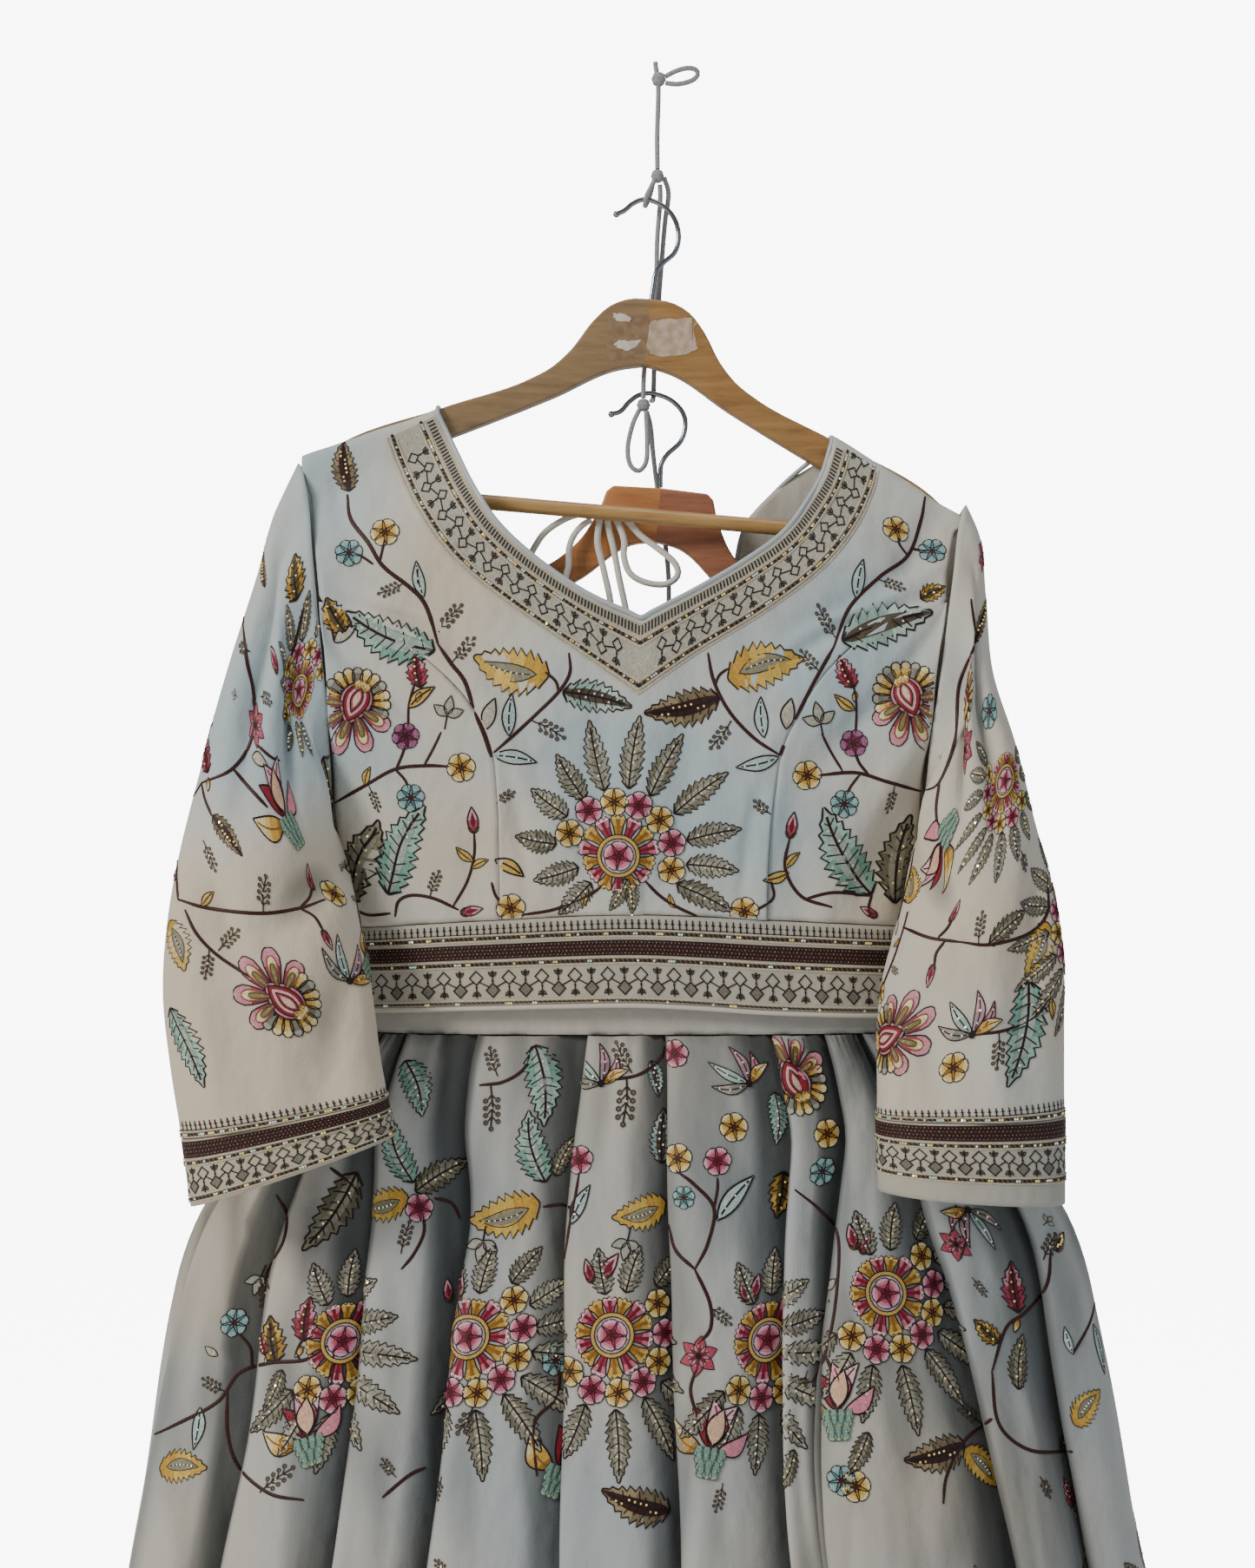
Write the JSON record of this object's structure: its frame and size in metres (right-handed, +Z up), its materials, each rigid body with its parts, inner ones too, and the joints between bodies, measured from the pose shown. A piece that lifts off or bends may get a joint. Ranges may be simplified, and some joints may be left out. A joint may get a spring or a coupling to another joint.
{
  "type": "lehenga set on wooden hangers",
  "caption": "Embroidered blouse with sleeves over a long pleated skirt, each on a wooden hanger, hung from a knotted cord.",
  "frame": {"origin": "the top knot of the cord that the set hangs from", "axes": "+Z up, +X to the viewer's right, -Y towards the viewer, who sees the front"},
  "size_m": [0.8757, 0.4771, 1.65],
  "materials": {
    "blouse_cloth": "crepe georgette with floral thread embroidery",
    "skirt_cloth": "sheer georgette with floral thread embroidery",
    "trim": "embroidered border with maroon band and sequins",
    "satin": "satin binding",
    "wood_upper": "varnished, slightly worn",
    "wood_lower": "varnished",
    "steel": "polished",
    "grey_cord": "twisted cotton",
    "white_cord": "soft satin tube"
  },
  "bodies": {
    "root": {"blouse_front_centre": "blouse_cloth", "blouse_side_front_left": "blouse_cloth", "blouse_side_front_right": "blouse_cloth", "blouse_back_left": "blouse_cloth", "blouse_back_right": "blouse_cloth", "sleeve_left": "blouse_cloth", "sleeve_right": "blouse_cloth", "cuff_band_left": "trim", "cuff_band_right": "trim", "hem_band_front": "trim", "hem_band_back_left": "trim", "hem_band_back_right": "trim", "waistband": "trim", "neck_binding_front": "satin", "neck_binding_back": "satin", "hem_piping_front": "satin", "hanging_ribbon_left": "satin", "hanging_ribbon_right": "satin", "skirt_gore_front_left": "skirt_cloth", "skirt_gore_front_middle": "skirt_cloth", "skirt_gore_front_right": "skirt_cloth", "skirt_gore_back_right": "skirt_cloth", "skirt_gore_back_middle": "skirt_cloth", "skirt_gore_back_left": "skirt_cloth", "hanger_upper_left": "wood_upper", "hanger_upper_right": "wood_upper", "hanger_upper_bar": "wood_upper", "hanger_lower_left": "wood_lower", "hanger_lower_right": "wood_lower", "hanger_upper_hook": "steel", "hanger_lower_hook": "steel", "cord_tail_top": "grey_cord", "cord_bow_top": "grey_cord", "cord_upper": "grey_cord", "cord_hook_sling": "grey_cord", "cord_drop_left": "grey_cord", "cord_drop_right": "grey_cord", "cord_bow_lower": "grey_cord", "cord_tail_lower": "grey_cord", "cord_knot_top": "grey_cord", "cord_knot_second": "grey_cord", "cord_knot_lower": "grey_cord", "dori_left": "white_cord", "dori_right": "white_cord", "dori_end_left": "white_cord", "dori_end_right": "white_cord", "dori_loop": "white_cord", "dori_knot": "white_cord", "dori_end_knot_left": "white_cord", "dori_end_knot_right": "white_cord"}
  },
  "joints": []
}
